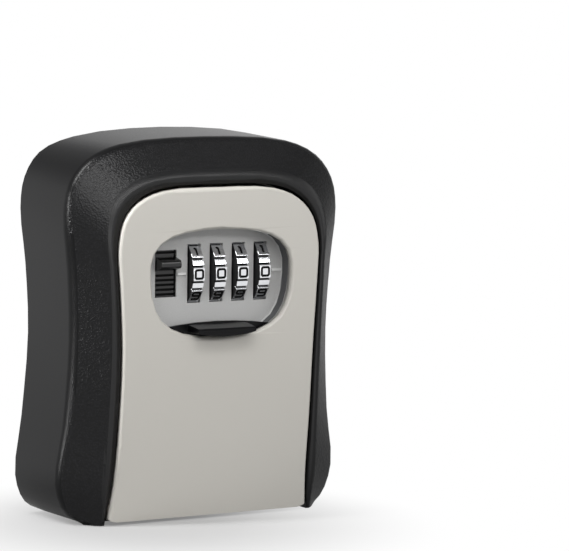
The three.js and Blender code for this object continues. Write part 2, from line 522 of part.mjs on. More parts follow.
function lockCase() {
  const { floorY, wall, halfWidth, cheek, trough, backY } = CASE;
  const floor = block([-halfWidth, halfWidth], [floorY, floorY + wall], [CASE.foot, CASE.top]);
  const front = leaning(CHANNEL.backY);
  const rim = cut(
    prism('y', windowOutline(CASE.rim), -20, floorY + 0.2),
    leaningSlab(FAR, () => -FAR, front, 0, 120));
  const recess = loft([
    loopOf(windowOutline(0.25), () => floorY),
    loopOf(windowOutline(0.6), () => floorY - 0.4),
    loopOf(windowOutline(0.75), () => floorY - 1.2),
    loopOf(windowOutline(0.75), () => CLEAR_FRONT_Y),
  ]);
  const indexMarks = INDEX_MARKS.across.map((along) => block(along,
    [floorY - INDEX_MARKS.proud, floorY + 0.2], [DIAL.z - INDEX_MARKS.below, DIAL.z + INDEX_MARKS.above]));
  const sides = blockPair([halfWidth - cheek, halfWidth], [floorY, backY], [trough, CASE.sideTop]);
  const bottom = block([-halfWidth, halfWidth], [floorY, backY], [trough, trough + CASE.bottom]);
  const leftWall = block(LEFT_WALL, [LEFT_WALL_Y, backY], [trough, CASE.wallTop]);
  const rightWall = join(
    block(RIGHT_WALL, RESET_SHELF.y, [trough, CASE.wallTop]),
    block(RIGHT_WALL, [RESET_GAP.y, backY], [trough, RESET_GAP.z[0]]),
    block(RIGHT_WALL, [RESET_GAP.y, backY], [RESET_GAP.z[1], CASE.wallTop]));
  const shelf = block(RESET_SHELF.x, RESET_SHELF.y, RESET_SHELF.z);
  const coverPosts = COVER_POSTS.across.flatMap((across) =>
    COVER_POSTS.heights.map((height) => block(across, COVER_POSTS.y, height)));
  const ears = cut(
    blockPair([EAR.inner, halfWidth], [EAR_SEAT_Y, EAR.backY], [EAR.foot, EAR.top]),
    blockPair([EAR.stepX, FAR], [EAR.seatY, FAR], [EAR.foot, FAR * 2]));
  const room = prism('y', inset(frameOutline, LIP + FRAME_WALL + GAP), -FAR, FAR);
  const body = join(
    cut(join(floor.intersect(room), rim), recess), ...indexMarks, sides, bottom,
    leftWall, rightWall, shelf, ...coverPosts, ears.intersect(room));
  const slots = dials.flatMap((index) => {
    const x = dialX(index);
    const half = CASE.slotWidth / 2;
    return [
      block([x - half, x + half], [-FAR, 0], [CASE.slotFoot, CASE.slotTop]),
      rod('x', DIAL.radius + 0.35, x - half, x + half, [DIAL.y, DIAL.z], 32),
      rod('x', SLEEVE.disc + 0.35, discX(index) - SLEEVE.discWidth, discX(index) + SLEEVE.discWidth,
        [DIAL.y, DIAL.z], 28),
    ];
  });
  const behindFloor = floorY + wall + 0.5;
  const sliderSlot = join(
    block([SLIDER_SLOT.left, SLIDER_SLOT.right], [-FAR, behindFloor], [SLIDER_SLOT.foot, SLIDER_SLOT.top]),
    block([KNOB.left - GAP, KNOB.right + GAP], [KNOB.frontY - GAP, behindFloor],
      [KNOB.foot - SLIDER_TRAVEL - GAP, KNOB.top + GAP]));
  const holes = [
    rod('x', SPINDLE_RADIUS + 0.2, LEFT_WALL[0] - 1, RIGHT_WALL[1] + 1, [DIAL.y, DIAL.z]),
    ...EAR_SCREWS.map((at) => rod('y', EAR_SCREW.clear, -FAR, FAR, at, 14)),
    ...FOOT_SCREWS.map((at) => rod('y', FOOT_SCREW.pilot, -FAR, 0, at, 10)),
    ...COVER_SCREWS.map((at) => rod('y', COVER_SCREW.pilot, COVER_POSTS.y[0] + 0.4, FAR, at, 10)),
  ];
  return cut(body, ...slots, sliderSlot, ...holes);
}

function caseCover() {
  const { left, right, foot, top, corner, notch } = COVER;
  const [notchFoot, notchTop] = notch.z;
  const outline = new THREE.Shape();
  outline.moveTo(left, foot).lineTo(right, foot).lineTo(right, notchFoot - notch.slope);
  outline.lineTo(notch.x, notchFoot).lineTo(notch.x, notchTop).lineTo(right, notchTop + notch.slope);
  outline.lineTo(right, top - corner).quadraticCurveTo(right, top, right - corner, top);
  outline.lineTo(left, top);
  const plate = prism('y', outline.getPoints(4).map((p) => [p.x, p.y]),
    COVER.frontY, COVER.frontY + COVER.thick);
  return cut(plate, ...COVER_SCREWS.map((at) => rod('y', COVER_SCREW.clear, 0, FAR, at, 12)));
}

// Plate behind the shutter: it closes the channel below the lock case.
function shutterTrack() {
  const { foot, top, thick } = TRACK;
  const plate = leaningSlab(TRACK.halfWidth, trackY, (z) => trackY(z) + thick, foot, top);
  const ribs = TRACK.ribs.map((x) =>
    leaningSlab(TRACK.ribHalf, (z) => trackY(z) + thick - 0.2, (z) => trackY(z) + TRACK.ribBack,
      TRACK.ribFoot, top - 1).translate([x, 0, 0]));
  const room = prism('y', inset(frameOutline, LIP + FRAME_WALL + GAP), -FAR, FAR);
  return cut(join(plate, ...ribs).intersect(room), faceSlab(-20, SKIN + GAP, 1, 8),
    ...TRACK_SCREWS.map((at) => rod('y', TRACK_SCREW.clear, -FAR, 0, at, 12)));
}

function weatherShutter() {
  const { frontY, thick, halfWidth, foot, top, topRadius } = SHUTTER;
  const plate = leaningSlab(halfWidth, leaning(frontY), leaning(frontY + thick), foot, top);
  const steps = 8;
  const arch = Array.from({ length: steps + 1 }, (_, i) => {
    const x = halfWidth * (1 - (2 * i) / steps);
    return [x, top - x ** 2 / (2 * topRadius)];
  });
  const cover = plate.intersect(prism('y', [[-halfWidth, foot], [halfWidth, foot], ...arch], -FAR, FAR));
  const bow = (rise, z) => Array.from({ length: 7 }, (_, i) => {
    const t = -1 + i / 3;
    return [t * TAB.halfWidth, z + rise * t * t];
  });
  const tabFront = prism('y',
    [...bow(TAB.footRise, TAB.foot), ...bow(-0.4, TAB.top + 1).reverse()], -FAR, leaning(frontY + 0.5)(57));
  const tabSide = prism('x', [
    [-13, TAB.foot - 1], [TAB.front + 1.2, TAB.foot - 1], [TAB.front, TAB.foot + 0.7],
    [TAB.front, TAB.top - 0.5], [TAB.front + 0.6, TAB.top], [-13, TAB.top + 1],
  ], -TAB.halfWidth, TAB.halfWidth);
  return join(cover, tabFront.intersect(tabSide));
}

// ---- dials and locking bar -----------------------------------------------------------------

// A dial about its own axis along X: a flat pad for each digit with a thumb rib between pads.
function dialWheel() {
  const profile = [];
  const place = (turn, across, out) => [
    out * Math.cos(turn) - across * Math.sin(turn),
    out * Math.sin(turn) + across * Math.cos(turn),
  ];
  for (let digit = 0; digit < DIAL.positions; digit++) {
    const pad = Math.PI + (digit / DIAL.positions) * 2 * Math.PI;
    const rib = pad + Math.PI / DIAL.positions;
    const { halfPad, halfRib, root, flat, ribRadius } = DIAL;
    profile.push(
      place(pad, -halfPad - 0.15, root), place(pad, -halfPad, flat),
      place(pad, halfPad, flat), place(pad, halfPad + 0.15, root),
      place(rib, -halfRib - 0.15, root), place(rib, -halfRib, ribRadius),
      place(rib, halfRib, ribRadius), place(rib, halfRib + 0.15, root));
  }
  const wheel = prism('x', profile, -DIAL.width / 2, DIAL.width / 2);
  return cut(wheel, rod('x', DIAL.bore, -FAR, FAR, [0, 0], 20));
}

// Sleeve inside a dial, with the gated disc that the locking bar drops into beside it.
function codeSleeve() {
  const half = DIAL.width / 2;
  const discBack = -DIAL.pitch / 2 - SLEEVE.discWidth / 2;
  const discFront = discBack + SLEEVE.discWidth;
  const turned = join(
    rod('x', SLEEVE.hub, -half, half, [0, 0], 20),
    rod('x', SLEEVE.gateFloor, discFront - 0.1, 0, [0, 0], 14),
    rod('x', SLEEVE.disc, discBack, discFront, [0, 0], 24));
  const gates = [[SLEEVE.gateFloor, 20], [-20, -SLEEVE.gateFloor]].map((height) =>
    block([discBack - 1, discFront + 0.05], [-SLEEVE.gate / 2, SLEEVE.gate / 2], height));
  const flat = block([-half - 0.1, half + 0.1], [-FAR, FAR], [-20, 0.4 - SLEEVE.hub]);
  return cut(turned, ...gates, flat, rod('x', SLEEVE.bore, -FAR, FAR, [0, 0], 14));
}

function lockingBar() {
  const bar = block([BAR.left, BAR.right], [BAR.front, BAR.back], [BAR.foot, BAR.top]);
  const fingers = dials.map((index) => {
    const x = discX(index);
    return block([x - 0.65, x + 0.65], [DIAL.y - 1.1, BAR.back], [BAR.tip, BAR.foot + 0.2]);
  });
  return join(bar, ...fingers);
}

// ---- opening slider and its carriage -------------------------------------------------------

function openSlider() {
  const { left, right, frontY, backY, edge, groove } = KNOB;
  const plate = block([left, right], [frontY, backY], [KNOB.foot, KNOB.top]);
  const ledge = prism('x', [[backY, 73.6], ...KNOB.ledge, [backY, 78.2]],
    SLIDER_SLOT.left + edge, SLIDER_SLOT.right - edge);
  const grooves = KNOB.grooves.map((z) => block([left + groove.inset, right - groove.inset],
    [-FAR, frontY + groove.depth], [z - groove.half, z + groove.half]));
  return join(cut(plate, ...grooves), ledge);
}

const wedgeY = (z) => WEDGE.y + WEDGE.slope * (z - WEDGE.z);

function sliderCarriage() {
  const hub = block(...CARRIAGE.hub);
  const core = block(...CARRIAGE.core);
  const post = block(CARRIAGE.post, [BAR.front, BAR.back], [82, BAR.foot - GAP]);
  const wedge = prism('x', [
    [5, 80], [5, WEDGE.top - 2], [6, WEDGE.top], [wedgeY(WEDGE.top), WEDGE.top],
    [wedgeY(WEDGE.foot), WEDGE.foot], [8, WEDGE.foot - 1],
  ], ...CARRIAGE.wedge);
  const hoop = join(block(...CARRIAGE.hoopSide), block(...CARRIAGE.hoopBack));
  const seat = CARRIAGE.springSeat;
  const springSeat = rod('z', seat.radius, ...seat.z, [SPRING.x, SPRING.y], 16);
  return join(cut(hub, core), post, wedge, hoop, springSeat);
}

// ---- latch rocker --------------------------------------------------------------------------

function latchRocker() {
  const [x0, x1] = [LATCH.legX - LATCH.legWidth / 2, LATCH.legX + LATCH.legWidth / 2];
  const leg = prism('x', LATCH.leg, x0, x1);
  const crossbar = block([-x1, x1], ...LATCH.crossbar);
  const tail = prism('x', LATCH.tail, ...LATCH.tailX);
  const bridge = block([LATCH.tailX[1] - 0.2, 0.5 - x1], ...LATCH.bridge);
  const rocker = join(leg, leg.mirror([1, 0, 0]), crossbar, tail, bridge);
  return cut(rocker, rod('x', LATCH.bore, -FAR, FAR, [LATCH.y, LATCH.z]));
}

function resetLever() {
  return join(block(...RESET.foot), prism('z', RESET.post, ...RESET.postZ));
}

// ---- springs -------------------------------------------------------------------------------

class Helix extends THREE.Curve {
  constructor(point) {
    super();
    this.point = point;
  }
  getPoint(t, target = new THREE.Vector3()) {
    return target.copy(this.point(t));
  }
}

// Least clear distance between the turns of a wire, from points along it.
function leastGap(curve, wire, points) {
  const samples = curve.getPoints(points);
  const skip = Math.ceil(points / 8);
  let least = Infinity;
  samples.forEach((a, i) => samples.slice(i + skip).forEach((b) => {
    least = Math.min(least, a.distanceTo(b) - 2 * wire);
  }));
  return least;
}

function wireAlong(curve, wire, steps, sides = 5) {
  const circle = Array.from({ length: sides }, (_, i) => {
    const turn = (i / sides) * 2 * Math.PI;
    return [wire * Math.cos(turn), wire * Math.sin(turn)];
  });
  const geometry = new THREE.ExtrudeGeometry(shapeOf(circle), {
    steps, bevelEnabled: false, extrudePath: curve,
  });
  return solid(geometry);
}

function returnSpring() {
  const coil = new Helix((t) => {
    const turn = t * SPRING.turns * 2 * Math.PI;
    const rise = SPRING.foot + SPRING.wire + t * (SPRING.top - SPRING.foot - 2 * SPRING.wire);
    return new THREE.Vector3(
      SPRING.x + SPRING.radius * Math.cos(turn), SPRING.y + SPRING.radius * Math.sin(turn), rise);
  });
  console.log('return spring, gap between turns', leastGap(coil, SPRING.wire, 96).toFixed(2));
  return wireAlong(coil, SPRING.wire, SPRING.turns * COIL_STEPS);
}

function latchSpring() {
  const [x0, x1] = TORSION.x;
  const coilLength = TORSION.turns * 2 * Math.PI * TORSION.radius;
  const total = coilLength + 2 * TORSION.leg;
  const around = (turn, x) => new THREE.Vector3(
    x, LATCH.y + TORSION.radius * Math.sin(turn), LATCH.z - TORSION.radius * Math.cos(turn));
  const along = (turn) => new THREE.Vector3(0, Math.cos(turn), Math.sin(turn));
  const end = TORSION.turns * 2 * Math.PI;
  const coil = new Helix((t) => {
    const s = t * total - TORSION.leg;
    if (s < 0) return around(0, x0).addScaledVector(along(0), s);
    if (s > coilLength) return around(end, x1).addScaledVector(along(end), s - coilLength);
    return around((s / coilLength) * end, x0 + ((x1 - x0) * s) / coilLength);
  });
  console.log('latch spring, gap between turns', leastGap(coil, TORSION.wire, 96).toFixed(2));
  return wireAlong(coil, TORSION.wire, Math.round((TORSION.turns * COIL_STEPS * total) / coilLength));
}

// One finger for each dial, which clicks from digit to digit.
function detentSpring() {
  const { thick, half, frontY, baseBackY } = DETENT;
  const foot = CASE.trough + CASE.bottom + GAP;
  const bend = DETENT.bend.map(([y, rise]) => [y, foot + rise]);
  const strip = [...bend, ...bend.map(([y, z]) => [y - thick * 0.3, z + thick]).reverse()];
  const fingers = dials.map((index) => prism('x', strip, dialX(index) - half, dialX(index) + half));
  const base = block([dialX(0) - half, dialX(DIAL.count - 1) + half], [frontY, baseBackY],
    [foot, foot + thick]);
  return join(base, ...fingers);
}

// ---- small parts ---------------------------------------------------------------------------

// A screw along +Y from its tip to its domed head, with a cross recess.
function screw({ shaft, length, head, headHeight }) {
  const profile = [
    [0, 0], [shaft, shaft], [shaft, length], [head, length],
    [head, length + headHeight * 0.5], [head * 0.65, length + headHeight], [0, length + headHeight],
  ].map(([r, y]) => new THREE.Vector2(r, y));
  const turned = solid(new THREE.LatheGeometry(profile, 10));
  const arm = head * 0.62;
  const depth = [length + headHeight * 0.35, length + headHeight + 1];
  return cut(turned,
    block([-arm, arm], depth, [-head * 0.13, head * 0.13]),
    block([-head * 0.13, head * 0.13], depth, [-arm, arm]));
}

const pinAlongX = (radius, length) => {
  const geometry = new THREE.CylinderGeometry(radius, radius, length, 20);
  return geometry.rotateZ(Math.PI / 2);
};

// ---- assembly ------------------------------------------------------------------------------

const named = (name, body, look, position = [0, 0, 0]) => {
  const geometry = body.isBufferGeometry ? body : geometryOf(body);
  const mesh = new THREE.Mesh(geometry, look);
  mesh.name = name;
  mesh.position.set(...position);
  return mesh;
};

const box = new THREE.Group();
const door = new THREE.Group();
box.add(door);

box.add(named('back_tray', backTray(), creamPaint()));
box.add(named('outer_surround', outerSurround(), blackPlastic()));
SURROUND_SCREWS.forEach(([x, z], index) => {
  const seat = BACK_Y - 1 + 0.15 - SURROUND_SCREW.length;
  box.add(named(`surround_screw_${index + 1}`, screw(SURROUND_SCREW), nickel(), [x, seat, z]));
});
const hingeLength = HINGE.outer - HINGE.inner;
for (const [name, side] of [['hinge_pin_left', -1], ['hinge_pin_right', 1]]) {
  const x = (side * (HINGE.outer + HINGE.inner)) / 2;
  box.add(named(name, pinAlongX(HINGE.pin, hingeLength), nickel(), [x, HINGE.y, HINGE.z]));
}

door.add(named('door_panel', doorPanel(), creamPaint()));
door.add(named('lock_case', lockCase(), greyPaint()));
door.add(named('case_cover', caseCover(), castZinc()));
door.add(named('shutter_track', shutterTrack(), castZinc()));
door.add(named('weather_shutter', weatherShutter(), blackPlastic()));
door.add(named('open_slider', openSlider(), blackPlastic()));
door.add(named('slider_carriage', sliderCarriage(), castZinc()));
door.add(named('locking_bar', lockingBar(), springSteel()));
door.add(named('latch_rocker', latchRocker(), nickel()));
door.add(named('reset_lever', resetLever(), nickel()));
door.add(named('return_spring', returnSpring(), springSteel()));
door.add(named('latch_spring', latchSpring(), springSteel()));
door.add(named('detent_spring', detentSpring(), springSteel()));

const wheel = geometryOf(dialWheel());
const sleeve = geometryOf(codeSleeve());
dials.forEach((index) => {
  const centre = [dialX(index), DIAL.y, DIAL.z];
  door.add(named(`dial_wheel_${index + 1}`, wheel, chrome(), centre));
  door.add(named(`code_sleeve_${index + 1}`, sleeve, castZinc(), centre));
});
const [spindleLeft, spindleRight] = [LEFT_WALL[0], RIGHT_WALL[1]];
door.add(named('dial_spindle', pinAlongX(SPINDLE_RADIUS, spindleRight - spindleLeft), springSteel(),
  [(spindleLeft + spindleRight) / 2, DIAL.y, DIAL.z]));
door.add(named('latch_pin', pinAlongX(LATCH.pin, 2 * LATCH.ribOuter), chrome(), [0, LATCH.y, LATCH.z]));

function addScrews(prefix, places, size, seatY) {
  places.forEach(([x, z], index) => {
    const y = seatY(z) + 0.1 - size.length;
    door.add(named(`${prefix}_${index + 1}`, screw(size), nickel(), [x, y, z]));
  });
}
addScrews('ear_screw', EAR_SCREWS, EAR_SCREW, () => EAR.seatY);
addScrews('foot_screw', FOOT_SCREWS, FOOT_SCREW, () => CASE.floorY + CASE.wall);
addScrews('cover_screw', COVER_SCREWS, COVER_SCREW, () => COVER.frontY + COVER.thick);
addScrews('track_screw', TRACK_SCREWS, TRACK_SCREW, (z) => trackY(z) + TRACK.thick + 0.05);

export default box;
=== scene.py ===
# %% [markdown]
# # A combination key lock box
#
# The box is a painted metal tray in a black plastic surround. Its door drops down about two pins at
# the foot and carries everything that locks it: four number dials, an opening slider and a weather
# shutter. The solids arrive from the frame at their real size, in metres. This file gives them
# soft edges, printed digits and real finishes, then sets up the studio.

# %% Load the frame
import json
import math

import bmesh
import bpy
from mathutils import Matrix, Vector


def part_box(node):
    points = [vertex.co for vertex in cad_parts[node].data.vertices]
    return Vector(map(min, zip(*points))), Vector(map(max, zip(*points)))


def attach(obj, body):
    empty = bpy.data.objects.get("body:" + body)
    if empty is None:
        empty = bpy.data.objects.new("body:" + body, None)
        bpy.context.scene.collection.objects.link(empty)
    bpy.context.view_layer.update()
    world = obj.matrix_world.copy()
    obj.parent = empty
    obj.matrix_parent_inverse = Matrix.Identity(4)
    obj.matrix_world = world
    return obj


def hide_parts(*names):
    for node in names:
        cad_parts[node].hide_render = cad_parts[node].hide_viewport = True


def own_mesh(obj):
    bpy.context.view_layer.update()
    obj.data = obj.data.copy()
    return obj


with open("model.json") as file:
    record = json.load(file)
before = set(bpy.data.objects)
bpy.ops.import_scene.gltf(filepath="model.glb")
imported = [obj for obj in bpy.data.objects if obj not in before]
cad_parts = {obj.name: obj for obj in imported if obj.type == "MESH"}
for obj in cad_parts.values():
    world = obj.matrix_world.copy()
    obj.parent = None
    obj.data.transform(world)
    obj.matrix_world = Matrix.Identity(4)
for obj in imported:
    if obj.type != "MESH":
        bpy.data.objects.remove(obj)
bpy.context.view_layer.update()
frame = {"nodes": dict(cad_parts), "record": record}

MM = 0.001
node_body = {
    node: body for body, nodes in frame["record"]["behaviour"]["bodies"].items() for node in nodes}

# %% [markdown]
# ## The camera
#
# A photograph of a product is taken with a long lens from a little above, so the box keeps its
# proportions and shows its left side. The camera is turned by an azimuth, an elevation and a
# slight roll, and its axes are written out as a matrix, which leaves no doubt about their order.

# %% Camera
IMAGE_WIDTH = 569
CAMERA_PLACE = Vector((-486.62, -877.19, 174.58)) * MM
AZIMUTH, ELEVATION, ROLL = (math.radians(a) for a in (-30.57, 5.878, 0.747))
FOCAL_PIXELS = 3395.26

forward = Vector((
    -math.sin(AZIMUTH) * math.cos(ELEVATION),
    math.cos(AZIMUTH) * math.cos(ELEVATION),
    -math.sin(ELEVATION)))
level_right = Vector((math.cos(AZIMUTH), math.sin(AZIMUTH), 0))
level_up = level_right.cross(forward)
right = level_right * math.cos(ROLL) + level_up * math.sin(ROLL)
up = level_up * math.cos(ROLL) - level_right * math.sin(ROLL)

camera_data = bpy.data.cameras.new("product_camera")
camera_data.sensor_width = 36
camera_data.lens = FOCAL_PIXELS * camera_data.sensor_width / IMAGE_WIDTH
camera = bpy.data.objects.new("product_camera", camera_data)
bpy.context.scene.collection.objects.link(camera)
axes = Matrix((right, up, -forward)).transposed().to_4x4()
camera.matrix_world = Matrix.Translation(CAMERA_PLACE) @ axes
bpy.context.scene.camera = camera
print("lens", round(camera_data.lens, 1), "mm")

# %% [markdown]
# ## Nodes for materials
#
# Every finish below is built from procedural nodes that read Object coordinates, so a grain has a
# real size in millimetres and stays with its piece when the piece moves. One helper adds a node
# with its settings and links, and one turns a written colour into the linear values of a shader.

# %% Node helpers
def linear(code):
    channels = [int(code[i:i + 2], 16) / 255 for i in (1, 3, 5)]
    return [c / 12.92 if c <= 0.04045 else ((c + 0.055) / 1.055) ** 2.4 for c in channels] + [1.0]


def per_size(millimetres):
    """Scale of a texture whose cells measure this much."""
    return 1 / (millimetres * MM)


def add_node(tree, kind, settings=None, links=None):
    node = tree.nodes.new(kind)
    for name, value in (settings or {}).items():
        if isinstance(name, int) or name in node.inputs:
            node.inputs[name].default_value = value
        else:
            setattr(node, name, value)
    for name, source in (links or {}).items():
        tree.links.new(source, node.inputs[name])
    return node


def noise(tree, place, millimetres, detail):
    """A cloudy pattern from 0 to 1 whose blots measure this much."""
    cloud = add_node(tree, "ShaderNodeTexNoise",
                     {"Scale": per_size(millimetres), "Detail": detail}, {"Vector": place})
    return cloud.outputs["Fac"]


def relief(tree, height, strength, depth_mm):
    """The normal of a surface with this bump, whose height runs from 0 to 1."""
    bump = add_node(tree, "ShaderNodeBump", {"Strength": strength, "Distance": depth_mm * MM},
                    {"Height": height})
    return bump.outputs["Normal"]


def remapped(tree, value, low, high, span=(0.0, 1.0), easing="LINEAR"):
    """The value taken from its span to the range from low to high, and held inside it."""
    ranged = add_node(tree, "ShaderNodeMapRange",
                      {"interpolation_type": easing, "From Min": span[0], "From Max": span[1],
                       "To Min": low, "To Max": high}, {"Value": value})
    return ranged.outputs["Result"]


def new_material(name):
    material = bpy.data.materials.new(name)
    material.use_nodes = True
    material.node_tree.nodes.clear()
    place = add_node(material.node_tree, "ShaderNodeTexCoord").outputs["Object"]
    return material, material.node_tree, place


def with_shader(material, settings, links):
    """Ends a material with one Principled shader. Uniform values stay on its own sockets."""
    tree = material.node_tree
    shader = add_node(tree, "ShaderNodeBsdfPrincipled", settings, links)
    add_node(tree, "ShaderNodeOutputMaterial", links={"Surface": shader.outputs["BSDF"]})
    return material

# %% [markdown]
# ## Black ABS, spark-textured
#
# The surround is moulded in black ABS. Its front flank has the pebbled grain that a spark-eroded
# mould leaves, which breaks the highlight into fine sparkle, so the bump mixes round cells with
# noise. The middle of each cell is painted a touch lighter, a painted sparkle that stands in for
# the glints of the grain. The lip round the door, the sides, the shutter and the slider are
# smooth, and differ in gloss.

# %% Black ABS
GRAIN_CELL_MM, GRAIN_CLOUD_MM, GRAIN_DEPTH_MM = 0.6, 1.0, 0.16
# Grain tone, with the middles of the cells painted lighter: a painted sparkle for the grain's
# glints.
GRAIN_TONE_AND_SPARKLE = ((0.15, "#171719"), (0.5, "#0e0e0f"))
ROUGHNESS_SPREAD = 0.05


def textured_abs():
    material, tree, place = new_material("textured_black_abs")
    cells = add_node(tree, "ShaderNodeTexVoronoi",
                     {"Scale": per_size(GRAIN_CELL_MM), "feature": "F1"}, {"Vector": place})
    height = add_node(tree, "ShaderNodeMath", {"operation": "MULTIPLY"},
                      {0: cells.outputs["Distance"], 1: noise(tree, place, GRAIN_CLOUD_MM, 4.0)})
    tint = add_node(tree, "ShaderNodeValToRGB", links={"Fac": cells.outputs["Distance"]})
    for stop, (position, code) in zip(tint.color_ramp.elements, GRAIN_TONE_AND_SPARKLE):
        stop.position = position
        stop.color = linear(code)
    return with_shader(
        material, {"Roughness": 0.3, "IOR": 1.5, "Specular IOR Level": 0.27},
        {"Base Color": tint.outputs["Color"],
         "Normal": relief(tree, height.outputs["Value"], 1.0, GRAIN_DEPTH_MM)})


def smooth_abs(name, code, roughness, grain_mm, grain_strength, gloss):
    material, tree, place = new_material(name)
    grain = noise(tree, place, grain_mm, 3.0)
    rough, rougher = roughness - ROUGHNESS_SPREAD, roughness + ROUGHNESS_SPREAD
    return with_shader(
        material, {"Base Color": linear(code), "IOR": 1.5, "Specular IOR Level": gloss},
        {"Roughness": remapped(tree, grain, rough, rougher),
         "Normal": relief(tree, grain, grain_strength, 0.05)})

# %% [markdown]
# ## Baked paint on metal
#
# The door is a zinc casting under a warm grey paint, and the tray is painted a darker grey-brown,
# whose darkness is partly a painted shade for the inside of the box.
# Sprayed paint lies in a very faint orange peel, a few tenths of a millimetre across. The lock case
# has a silver paint with metal flakes, which look like fine pepper from close by.

# %% Paints
PEEL_STRENGTH, PEEL_DEPTH_MM = 0.12, 0.04
FLAKE_MM, FLAKE_SPAN = 0.22, (0.35, 0.65)


def baked_paint(name, code, roughness, peel_mm, flakes=0.0):
    material, tree, place = new_material(name)
    peel = noise(tree, place, peel_mm, 2.0)
    pepper = noise(tree, place, FLAKE_MM, 1.0)
    tint = add_node(tree, "ShaderNodeVectorMath", {"operation": "SCALE", 0: linear(code)[:3]},
                    {"Scale": remapped(tree, pepper, 1 - flakes, 1 + flakes, FLAKE_SPAN)})
    return with_shader(
        material,
        {"Roughness": roughness, "IOR": 1.5, "Coat Weight": 0.3, "Coat Roughness": 0.2},
        {"Base Color": tint.outputs["Vector"],
         "Normal": relief(tree, peel, PEEL_STRENGTH, PEEL_DEPTH_MM)})

# %% [markdown]
# ## Metals
#
# Die-cast zinc keeps the dull, slightly cloudy skin of the mould. Nickel plate is satin, and spring
# strip and wire have fine drawing lines. The chrome of the dials is the brightest, over pads with a
# slight waviness. They differ in tint, roughness and the size of that pattern.

# %% Metals
METAL_DEPTH_MM = 0.03


def metal(name, code, roughness, cloud_mm, cloud_depth, bump_strength=0.05, metallic=1.0):
    material, tree, place = new_material(name)
    cloud = noise(tree, place, cloud_mm, 4.0)
    rough, rougher = roughness - cloud_depth, roughness + cloud_depth
    return with_shader(
        material, {"Base Color": linear(code), "Metallic": metallic},
        {"Roughness": remapped(tree, cloud, rough, rougher),
         "Normal": relief(tree, cloud, bump_strength, METAL_DEPTH_MM)})


finishes = {
    "surround": smooth_abs("satin_black_abs", "#0f0f10", 0.3, 0.5, 0.06, gloss=0.17),
    "flank": textured_abs(),
    "lip": smooth_abs("smooth_lip_abs", "#101011", 0.3, 0.5, 0.06, gloss=0.36),
    "shutter": smooth_abs("polished_black_abs", "#08080a", 0.3, 0.4, 0.1, gloss=0.15),
    "slider": smooth_abs("glossy_black_abs", "#050505", 0.16, 0.8, 0.05, gloss=0.55),
    # Black ink of the printed digits, also used as a painted shade on the slider's groove floors.
    "digit": smooth_abs("black_ink_and_groove_shade", "#040404", 0.6, 0.5, 0.05, gloss=0.1),
    # Near-black painted shade and painted dark reflection for the dials' flanks and valleys.
    "recess": smooth_abs("near_black_painted_shade", "#0b0b0c", 0.3, 0.7, 0.1, gloss=0.25),
    # Pale paint on the index marks, a painted highlight.
    "mark": baked_paint("pale_painted_highlight", "#d9d9d8", 0.4, 0.5),
    # Dark grey painted shade on the recess walls.
    "shaded": baked_paint("dark_grey_painted_shade", "#48494b", 0.45, 0.6),
    # The tray's darker paint, partly a painted shade for the inside of the box.
    "tray_tone_and_shade": baked_paint("tray_paint_and_painted_shade", "#8d8880", 0.45, 0.9),
    "cream": baked_paint("warm_grey_paint", "#c6c3bc", 0.42, 0.9),
    "silver": baked_paint("silver_flake_paint", "#b6b6b5", 0.45, 0.6, 0.09),
    "zinc": metal("die_cast_zinc", "#b3b4b6", 0.42, 2.5, 0.1),
    "chrome": metal("chrome_plate", "#e6e7ea", 0.12, 1.3, 0.03, bump_strength=0.5, metallic=0.85),
    "nickel": metal("nickel_plate", "#c4b8ac", 0.34, 1.2, 0.05),
    "spring": metal("spring_steel", "#a2a4a8", 0.3, 0.6, 0.06),
}

# %% [markdown]
# ## Rounding the solids
#
# A solid from the frame is a heap of loose triangles with knife edges. A copy is merged, its flat
# areas are dissolved into single faces, a narrow bevel is run along the sharp edges, and curved
# areas are shaded smooth. Wide faces decide the shading at a shared corner, so that a soft edge
# stays a soft edge. The copy then stands for the solid, which stays hidden underneath.

# %% Refined copies
MERGE_DISTANCE = 0.002 * MM
WIDE_FACES_WEIGHT = 100


def only(piece):
    bpy.ops.object.select_all(action="DESELECT")
    piece.select_set(True)
    bpy.context.view_layer.objects.active = piece


def recrease(mesh, crease):
    """Asks crease(face, face) about each edge: True is sharp, False soft, None leaves it."""
    net = bmesh.new()
    net.from_mesh(mesh)
    for edge in net.edges:
        answer = crease(*edge.link_faces)
        if answer is not None:
            edge.smooth = not answer
    net.to_mesh(mesh)
    net.free()


def refined(node, look, bevel_mm=0.0, smooth_deg=32, crease=None, flat_deg=0.3):
    solid = frame["nodes"][node]
    piece = bpy.data.objects.new(f"{node}_finished", solid.data.copy())
    bpy.context.scene.collection.objects.link(piece)
    only(piece)
    bpy.ops.object.mode_set(mode="EDIT")
    bpy.ops.mesh.select_all(action="SELECT")
    bpy.ops.mesh.remove_doubles(threshold=MERGE_DISTANCE)
    bpy.ops.mesh.dissolve_limited(angle_limit=math.radians(flat_deg))
    bpy.ops.object.mode_set(mode="OBJECT")
    if bevel_mm:
        bevel = piece.modifiers.new("edge", "BEVEL")
        bevel.width = bevel_mm * MM
        bevel.segments = 2
        bevel.limit_method = "ANGLE"
        bevel.angle_limit = math.radians(smooth_deg)
        bpy.ops.object.modifier_apply(modifier="edge")
    bpy.ops.object.shade_smooth_by_angle(angle=math.radians(smooth_deg))
    if crease:
        recrease(piece.data, crease)
    weights = piece.modifiers.new("wide_faces_first", "WEIGHTED_NORMAL")
    weights.keep_sharp = True
    weights.weight = WIDE_FACES_WEIGHT
    bpy.ops.object.modifier_apply(modifier="wide_faces_first")
    piece.data.materials.clear()
    piece.data.materials.append(finishes[look])
    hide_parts(node)
    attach(piece, node_body[node])
    return piece

# %% [markdown]
# ## Zones of the surround, and the door's curve
#
# The surround falls into a textured flank, a smooth lip round the door and the rest, told apart by
# how squarely a face looks forwards. Flank and lip meet along a crisp line, and the lip turns into
# the door's opening along a soft one. The door's front is part of a large shallow curve, crowned a
# little above its middle. Its facets get the normals of that curve, so that none of them shows.

